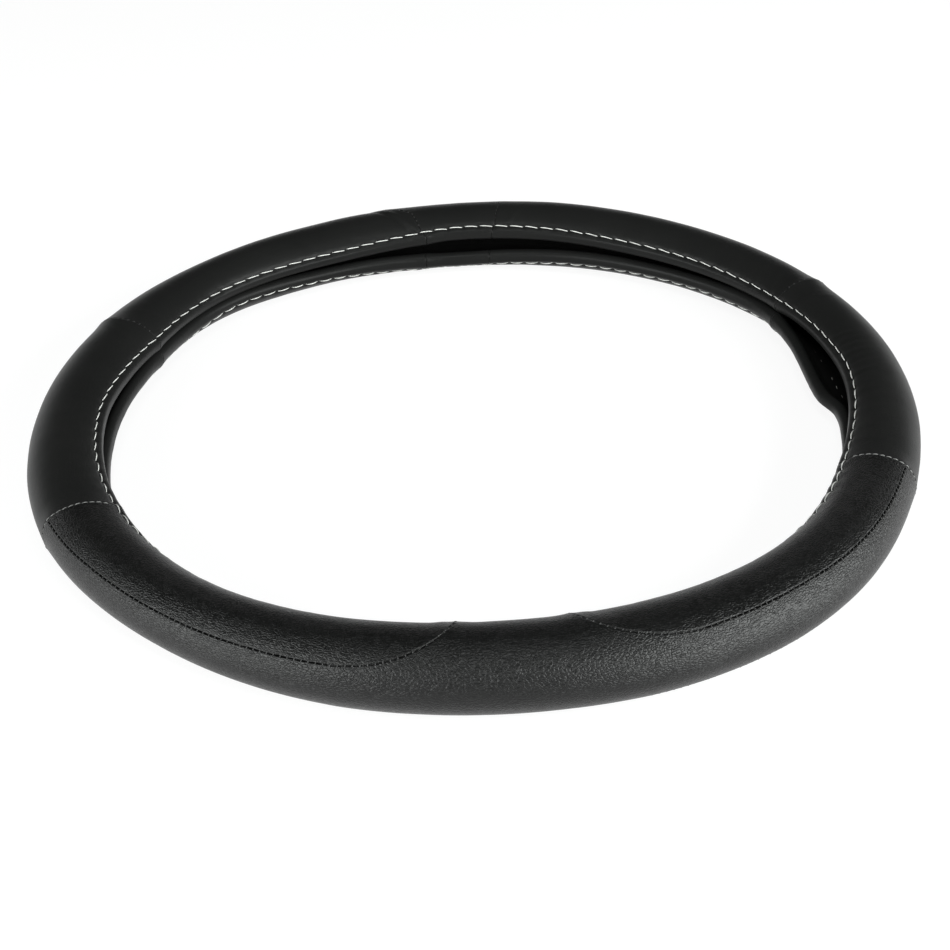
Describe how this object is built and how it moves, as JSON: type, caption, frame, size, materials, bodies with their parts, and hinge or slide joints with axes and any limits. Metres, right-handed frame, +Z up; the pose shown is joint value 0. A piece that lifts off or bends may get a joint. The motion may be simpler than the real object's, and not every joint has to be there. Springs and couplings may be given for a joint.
{
  "type": "steering wheel cover",
  "caption": "Slip-on ring of sewn black leather panels over a moulded rubber liner with a C-shaped section, open along its inner side to take a steering wheel rim.",
  "frame": {"origin": "middle of the ring, at the plane it lies on", "axes": "+Z up out of the lying ring; -Y towards the middle of the grained front grip; +X to the right as that grip faces the viewer"},
  "size_m": [0.3786, 0.3765, 0.0313],
  "materials": {
    "smooth_leather": "smooth matt black, fine micro-wrinkles near the seams",
    "grained_leather": "pebbled black grain with soft creases and a broad satin sheen",
    "liner_rubber": "matt black moulded rubber",
    "edge_thread": "white twisted sewing thread",
    "seam_thread": "black twisted sewing thread"
  },
  "bodies": {
    "root": {"inner_ring": "liner_rubber", "rear_centre_panel": "smooth_leather", "rear_left_panel": "smooth_leather", "rear_right_panel": "smooth_leather", "left_side_panel": "smooth_leather", "right_side_panel": "smooth_leather", "front_grip_panel": "grained_leather", "front_left_upper_panel": "grained_leather", "front_left_lower_panel": "grained_leather", "front_right_upper_panel": "grained_leather", "front_right_lower_panel": "grained_leather", "upper_edge_thread": "edge_thread", "lower_edge_thread": "edge_thread", "rear_centre_right_seam_thread": "seam_thread", "rear_centre_left_seam_thread": "seam_thread", "rear_left_seam_thread": "seam_thread", "rear_right_seam_thread": "seam_thread", "front_left_seam_thread": "seam_thread", "front_right_seam_thread": "seam_thread", "left_upper_lens_seam_thread": "seam_thread", "left_lower_lens_seam_thread": "seam_thread", "right_upper_lens_seam_thread": "seam_thread", "right_lower_lens_seam_thread": "seam_thread"}
  },
  "joints": []
}
